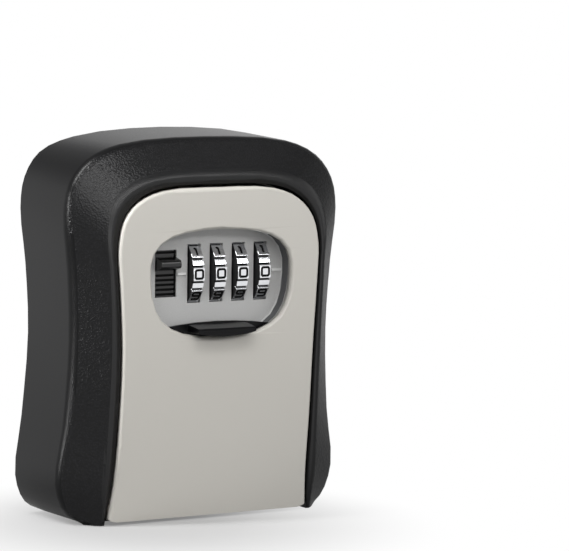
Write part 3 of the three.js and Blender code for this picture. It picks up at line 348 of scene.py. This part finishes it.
# %% Zones and normals
LIP_SLOPE, FLANK_SLOPE = -0.88, -0.58
LIP_BACK = -8 * MM
CREASES = {frozenset({"flank", "lip"}): True, frozenset({"lip", "rest"}): False}
FACE_CROWN_Y, FACE_CROWN_Z, FACE_RADIUS = -17.51 * MM, 65.9 * MM, 316 * MM
FACE_SLOPE, LEVEL_SIDEWAYS, NEAR_CURVE = -0.9, 0.003, 0.05 * MM
SAME_FACE = math.cos(math.radians(12))


def surround_zone(normal, centre):
    if normal.y < LIP_SLOPE and centre.y < LIP_BACK:
        return "lip"
    return "flank" if normal.y < FLANK_SLOPE else "rest"


def surround_crease(*faces):
    zones = {surround_zone(face.normal, face.calc_center_median()) for face in faces}
    return CREASES.get(frozenset(zones))


def on_curve(face):
    level = FACE_CROWN_Y + (face.center.z - FACE_CROWN_Z) ** 2 / (2 * FACE_RADIUS)
    return (face.normal.y < FACE_SLOPE and abs(face.normal.x) < LEVEL_SIDEWAYS
            and abs(face.center.y - level) < NEAR_CURVE)


def faired(mesh):
    front = {vertex for face in mesh.polygons if on_curve(face) for vertex in face.vertices}
    normals = [corner.vector.copy() for corner in mesh.corner_normals]
    for loop in mesh.loops:
        lean = (mesh.vertices[loop.vertex_index].co.z - FACE_CROWN_Z) / FACE_RADIUS
        curve_normal = Vector((0, -1, lean)).normalized()
        if loop.vertex_index in front and normals[loop.index].dot(curve_normal) > SAME_FACE:
            normals[loop.index] = curve_normal
    mesh.normals_split_custom_set(normals)

# %% Pieces
plain = {
    # The tray's paint is darker than the door's, partly as a painted shade for the box's inside.
    "back_tray": "tray_tone_and_shade", "lock_case": "silver", "case_cover": "zinc", "shutter_track": "zinc",
    "slider_carriage": "zinc", "return_spring": "spring", "latch_spring": "spring",
}
rounded = {
    "weather_shutter": "shutter", "locking_bar": "spring", "latch_rocker": "nickel",
    "reset_lever": "nickel", "detent_spring": "spring", "dial_spindle": "spring",
    "latch_pin": "nickel", "hinge_pin_left": "nickel", "hinge_pin_right": "nickel",
}
pieces = {}
for node, look in plain.items():
    pieces[node] = refined(node, look)
for node, look in rounded.items():
    pieces[node] = refined(node, look, bevel_mm=0.12)
pieces["outer_surround"] = refined("outer_surround", "surround", crease=surround_crease)
pieces["door_panel"] = refined("door_panel", "cream", flat_deg=0.02)
faired(pieces["door_panel"].data)
pieces["open_slider"] = refined("open_slider", "slider", bevel_mm=0.2, smooth_deg=60)
for node in frame["nodes"]:
    if "_screw_" in node:
        pieces[node] = refined(node, "nickel", bevel_mm=0.05)
    if node.startswith("code_sleeve"):
        pieces[node] = refined(node, "zinc", bevel_mm=0.08)
    if node.startswith("dial_wheel"):
        pieces[node] = refined(node, "chrome", bevel_mm=0.12, smooth_deg=25)
print("refined", len(pieces))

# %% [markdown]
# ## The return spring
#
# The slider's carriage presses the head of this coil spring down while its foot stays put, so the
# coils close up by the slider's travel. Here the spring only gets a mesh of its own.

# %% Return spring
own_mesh(pieces["return_spring"])

# %% [markdown]
# ## Two looks on one solid
#
# Some solids carry a second finish on part of their surface. The mould of the surround is textured
# only on the front flank, and the lip round the door has its own gloss. The floors of the slider's
# grooves take the matt black ink as a painted shade, the walls of the recess are a dark grey
# painted shade, and the two marks beside the dials are painted pale as a painted highlight.

# %% Second finishes
GROOVE_FLOOR = (-8.9 * MM, -8 * MM)
RECESS_FLOOR, MARK_FRONT, MARK_HEIGHT = -10.1 * MM, -10.55 * MM, 72.85 * MM
RECESS_LOW, RECESS_HIGH, RECESS_HALF_MIDDLE = 55 * MM, 88 * MM, 15 * MM


def second_finish(node, look, wanted):
    mesh = pieces[node].data
    mesh.materials.append(finishes[look])
    slot = len(mesh.materials) - 1
    for face in mesh.polygons:
        if wanted(face.normal, face.center):
            face.material_index = slot


def groove_floor(normal, centre):
    return normal.y < -0.9 and GROOVE_FLOOR[0] < centre.y < GROOVE_FLOOR[1]


def recess_wall(normal, centre):
    return (abs(normal.y) < 0.6 and centre.y < RECESS_FLOOR - 0.1 * MM
            and abs(centre.x) > RECESS_HALF_MIDDLE and RECESS_LOW < centre.z < RECESS_HIGH)


def index_mark(normal, centre):
    return (MARK_FRONT - 0.05 * MM < centre.y < RECESS_FLOOR - 0.01 * MM
            and abs(centre.z - MARK_HEIGHT) < 0.5 * MM)


for zone in ("flank", "lip"):
    second_finish("outer_surround", zone, lambda *face: surround_zone(*face) == zone)
# The groove floors take the matt black ink of the digits: a painted shade that keeps the grooves
# dark.
second_finish("open_slider", "digit", groove_floor)
# The recess walls get a dark grey painted shade.
second_finish("lock_case", "shaded", recess_wall)
# The marks get a pale paint: a painted highlight for their lit edges.
second_finish("lock_case", "mark", index_mark)

# %% [markdown]
# ## Dials
#
# Each dial is chrome only on its pads and ribs. The flanks carry a near-black painted dark
# reflection and the valleys a painted shade, and the digits read at a glance against them. Faces
# are picked by their direction and their distance from the axis.

# %% Painted shade on the flanks and valleys
DIAL_COUNT = 4
PADS = 10
PAD_RADIUS, VALLEY_RADIUS = 11.1 * MM, 10.6 * MM


def dial_centre(number):
    low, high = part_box(f"dial_wheel_{number}")
    spindle_low, spindle_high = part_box("dial_spindle")
    middle = (low + high) / 2
    axis = (spindle_low + spindle_high) / 2
    return Vector((middle.x, axis.y, axis.z))


for number in range(1, DIAL_COUNT + 1):
    wheel = pieces[f"dial_wheel_{number}"]
    # Flanks and valleys get the near-black finish: a painted dark reflection on the flanks, a
    # painted shade in the valleys.
    wheel.data.materials.append(finishes["recess"])
    centre = dial_centre(number)
    for face in wheel.data.polygons:
        offset = face.center - centre
        radius = math.hypot(offset.y, offset.z)
        if abs(face.normal.x) > 0.9 or radius < VALLEY_RADIUS:
            face.material_index = 1

# %% [markdown]
# ## Digits
#
# The digits are bold strokes with square shoulders, one on each pad. Each stroke is a fine tube
# along a few points, flattened until it stands a few hundredths proud of the pad. The ten digits
# of a dial are joined into one piece, which turns with it. They count upwards round the dial.

# %% Digits
DIGIT_HALF = Vector((1.22, 0, 1.24)) * MM
STROKE = 0.42 * MM
FLATTENED = 0.15
STROKES = {
    0: [[(-1, -1), (1, -1), (1, 1), (-1, 1), (-1, -1)]],
    1: [[(-0.4, 0.7), (0.1, 1), (0.1, -1)]],
    2: [[(-1, 1), (1, 1), (1, 0), (-1, 0), (-1, -1), (1, -1)]],
    3: [[(-1, 1), (1, 1), (1, -1), (-1, -1)], [(-0.4, 0), (1, 0)]],
    4: [[(-1, 1), (-1, 0), (1, 0)], [(1, 1), (1, -1)]],
    5: [[(1, 1), (-1, 1), (-1, 0), (1, 0), (1, -1), (-1, -1)]],
    6: [[(1, 1), (-1, 1), (-1, -1), (1, -1), (1, 0), (-1, 0)]],
    7: [[(-1, 1), (1, 1), (0, -1)]],
    8: [[(-1, -1), (1, -1), (1, 1), (-1, 1), (-1, -1)], [(-1, 0), (1, 0)]],
    9: [[(1, 0), (-1, 0), (-1, 1), (1, 1), (1, -1), (-1, -1)]],
}


def softened(points, reach=0.3):
    """The stroke with its corners cut back, so the tube turns them in two easy steps."""
    points = [Vector(p) for p in points]
    out = [points[0]]
    for before, corner, after in zip(points, points[1:], points[2:]):
        out += [corner + (end - corner).normalized() * reach for end in (before, after)]
    return out + [points[-1]]


def digit_curve(digit):
    curve = bpy.data.curves.new("digit", "CURVE")
    curve.dimensions = "3D"
    curve.bevel_depth = STROKE
    curve.bevel_resolution = 1
    curve.use_fill_caps = True
    for stroke in STROKES[digit]:
        points = softened(stroke)
        spline = curve.splines.new("POLY")
        spline.points.add(len(points) - 1)
        for place, (x, z) in zip(spline.points, points):
            place.co = (x * DIGIT_HALF.x, 0, z * DIGIT_HALF.z, 1)
    return curve


def digit_stamp(pad, centre):
    """The digit of one pad as a flat mesh in its place on the dial."""
    stamp = bpy.data.objects.new("stamp", digit_curve((PADS - pad) % PADS))
    bpy.context.scene.collection.objects.link(stamp)
    only(stamp)
    bpy.ops.object.convert(target="MESH")
    stamp = bpy.context.view_layer.objects.active
    flat = Matrix.Diagonal((1, FLATTENED, 1, 1))
    out = Matrix.Translation((0, -PAD_RADIUS, 0))
    turn = Matrix.Rotation(pad * 2 * math.pi / PADS, 4, "X")
    stamp.data.transform(Matrix.Translation(centre) @ turn @ out @ flat)
    return stamp


for number in range(1, DIAL_COUNT + 1):
    stamps = [digit_stamp(pad, dial_centre(number)) for pad in range(PADS)]
    bpy.ops.object.select_all(action="DESELECT")
    for stamp in stamps:
        stamp.select_set(True)
    bpy.context.view_layer.objects.active = stamps[0]
    bpy.ops.object.join()
    digits = bpy.context.view_layer.objects.active
    digits.name = f"dial_digits_{number}"
    bpy.ops.object.shade_smooth_by_angle(angle=math.radians(40))
    digits.data.materials.clear()
    digits.data.materials.append(finishes["digit"])
    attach(digits, f"dial_{number}")

# %% [markdown]
# ## The studio
#
# The floor is grey paper near the box. The grey is a painted shadow pool round its foot, the real
# soft shadow also falls on it, and it fades to pure white around it. Floor and world show white to
# the camera and in reflections, where two dark flags and a darker ceiling shape the gloss, and they
# light the box only gently.

# %% Background levels
FILL = 0.27
RIGHT_FLAG, RIGHT_FLAG_LEVEL = (0.6, 0.9), 0.35
LEFT_FLAG, LEFT_FLAG_LEVEL = (-0.95, -0.6), 0.5
CEILING, CEILING_LEVEL = (0.15, 0.6), 0.12
WHITE = (1, 1, 1, 1)


def combined(tree, operation, one, other):
    node = add_node(tree, "ShaderNodeMath", {"operation": operation}, {0: one, 1: other})
    return node.outputs["Value"]


def flagged(tree, bearing):
    """Dims the reflected background at both sides, as black flags beside the set do."""
    across = add_node(tree, "ShaderNodeSeparateXYZ", links={"Vector": bearing}).outputs["X"]
    return combined(tree, "MULTIPLY",
                    remapped(tree, across, 1.0, RIGHT_FLAG_LEVEL, RIGHT_FLAG, "SMOOTHSTEP"),
                    remapped(tree, across, LEFT_FLAG_LEVEL, 1.0, LEFT_FLAG, "SMOOTHSTEP"))


def shown_level(tree, reflected):
    """1 to the camera, the given level in reflections, and the low fill level to other rays."""
    rays = add_node(tree, "ShaderNodeLightPath").outputs
    clear = combined(tree, "MAXIMUM", rays["Is Camera Ray"], rays["Is Transmission Ray"])
    mirrored = combined(tree, "MULTIPLY", reflected, rays["Is Glossy Ray"])
    either = combined(tree, "MAXIMUM", clear, mirrored)
    filled = add_node(tree, "ShaderNodeMath", {"operation": "MAXIMUM", 1: FILL}, {0: either})
    return filled.outputs["Value"]

# %% Floor
FLOOR_SIZE, FLOOR_DROP = 6, -0.2 * MM
TO_SHADOW_MIDDLE = (0.02, 0.015, 0)
SHADOW_FADE = (0.008, 0.088)
PAPER_LIFT = 0.2

bpy.ops.mesh.primitive_plane_add(size=FLOOR_SIZE, location=(0, 0, FLOOR_DROP))
floor = bpy.context.view_layer.objects.active
floor.name = "studio_floor"
material, tree, place = new_material("white_sweep")
from_middle = add_node(tree, "ShaderNodeVectorMath",
                       {"operation": "ADD", 1: TO_SHADOW_MIDDLE}, {0: place})
distance = add_node(tree, "ShaderNodeVectorMath", {"operation": "LENGTH"},
                    {0: from_middle.outputs["Vector"]})
fade = remapped(tree, distance.outputs["Value"], 0.0, 1.0, SHADOW_FADE, "SMOOTHSTEP")
bearing = add_node(tree, "ShaderNodeVectorMath", {"operation": "NORMALIZE"}, {0: place})
level = shown_level(tree, flagged(tree, bearing.outputs["Vector"]))
# The grey of this paper is a painted shadow pool round the box; the lamps' real shadows fall on it
# too.
grey_shadow_paper = add_node(tree, "ShaderNodeBsdfDiffuse", {"Color": linear("#989898")})
lift = remapped(tree, level, 0.0, PAPER_LIFT, (FILL, 1.0))
paper_glow = add_node(tree, "ShaderNodeEmission", {"Color": WHITE}, {"Strength": lift})
lit_shadow_paper = add_node(tree, "ShaderNodeAddShader",
                     links={0: grey_shadow_paper.outputs["BSDF"], 1: paper_glow.outputs["Emission"]})
glow = add_node(tree, "ShaderNodeEmission", {"Color": WHITE}, {"Strength": level})
blend = add_node(tree, "ShaderNodeMixShader",
                 links={0: fade, 1: lit_shadow_paper.outputs["Shader"], 2: glow.outputs["Emission"]})
add_node(tree, "ShaderNodeOutputMaterial", links={"Surface": blend.outputs["Shader"]})
floor.data.materials.append(material)

# %% World
world = bpy.data.worlds.new("studio")
bpy.context.scene.world = world
world.use_nodes = True
tree = world.node_tree
tree.nodes.clear()
sky = add_node(tree, "ShaderNodeTexCoord").outputs["Generated"]
height = add_node(tree, "ShaderNodeSeparateXYZ", links={"Vector": sky}).outputs["Z"]
overhead = remapped(tree, height, 1.0, CEILING_LEVEL, CEILING, "SMOOTHSTEP")
level = shown_level(tree, combined(tree, "MULTIPLY", overhead, flagged(tree, sky)))
white = add_node(tree, "ShaderNodeBackground", {"Color": WHITE}, {"Strength": level})
add_node(tree, "ShaderNodeOutputWorld", links={"Surface": white.outputs["Background"]})

# %% [markdown]
# ## Lamps
#
# A lamp shows as a highlight only where it stands in the mirrored direction of the view. So the
# broad key and the low front lamp give the door its even tone, the strips above and at the left
# draw the lit shoulder, edges and grain of the surround, a weak one on the right lifts the far
# flank, and a small one lights the pads of the dials.

# %% Lamps
AIM = Vector((0, 0, 0.055))
LAMPS = {  # place, width and height, and power in watts
    "key": ((-0.26, -0.33, 0.36), (0.35, 0.3), 0.95),
    "upper_left": ((-0.12, -0.6, 0.85), (0.5, 0.2), 2.2),
    "front_window": ((0.2, -0.87, 0.47), (0.7, 0.08), 1.8),
    "low_front": ((-0.1, -1.2, 0.1), (0.5, 0.3), 1.0),
    "left_edge": ((-0.88, 0.15, 0.15), (0.08, 0.4), 3.5),
    "corner_edge": ((-0.62, 0.07, 0.89), (0.12, 0.7), 9.0),
    "right_fill": ((0.9, -0.5, 0.3), (0.3, 0.6), 0.8),
    "pad_glint": ((0.49, -0.37, 0.88), (0.2, 0.2), 0.2),
}
for name, (place, size, watts) in LAMPS.items():
    softbox = bpy.data.lights.new(name, "AREA")
    softbox.shape = "RECTANGLE"
    softbox.size, softbox.size_y = size
    softbox.energy = watts
    lamp = bpy.data.objects.new(name, softbox)
    bpy.context.scene.collection.objects.link(lamp)
    lamp.location = place
    lamp.rotation_euler = (AIM - Vector(place)).to_track_quat("-Z", "Y").to_euler()

bpy.context.scene.view_settings.view_transform = "Standard"
